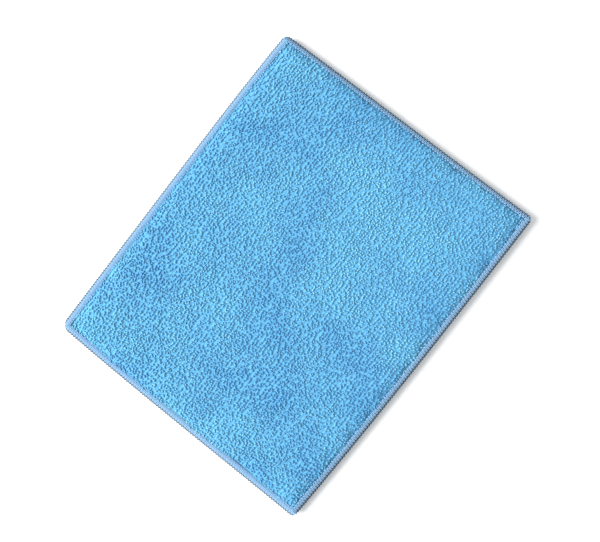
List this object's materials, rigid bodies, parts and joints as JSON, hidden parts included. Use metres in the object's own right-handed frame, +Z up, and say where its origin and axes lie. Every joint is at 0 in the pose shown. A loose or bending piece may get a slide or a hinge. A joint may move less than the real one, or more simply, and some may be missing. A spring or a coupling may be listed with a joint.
{
  "type": "polishing pad",
  "caption": "Rectangular padded microfibre polishing pad: loop-pile cloth over a foam core on both faces, with overlock-stitched edges.",
  "frame": {"origin": "centre of the pad's footprint, on the surface that it lies on", "axes": "+X along the long sides, +Y along the short sides, +Z up through the thickness"},
  "size_m": [0.25, 0.204, 0.0084],
  "materials": {
    "pile_cloth": "matt sky blue looped microfibre terry",
    "thread": "soft periwinkle blue textured polyester overlock thread",
    "foam": "matt off-white open-cell polyurethane foam"
  },
  "bodies": {
    "root": {"top_pile_cloth": "pile_cloth", "foam_core": "foam", "bottom_pile_cloth": "pile_cloth", "needle_thread_right": "thread", "needle_thread_left": "thread", "needle_thread_rear": "thread", "needle_thread_front": "thread", "upper_looper_thread_right": "thread", "upper_looper_thread_left": "thread", "upper_looper_thread_rear": "thread", "upper_looper_thread_front": "thread", "lower_looper_thread_right": "thread", "lower_looper_thread_left": "thread", "lower_looper_thread_rear": "thread", "lower_looper_thread_front": "thread"}
  },
  "joints": []
}
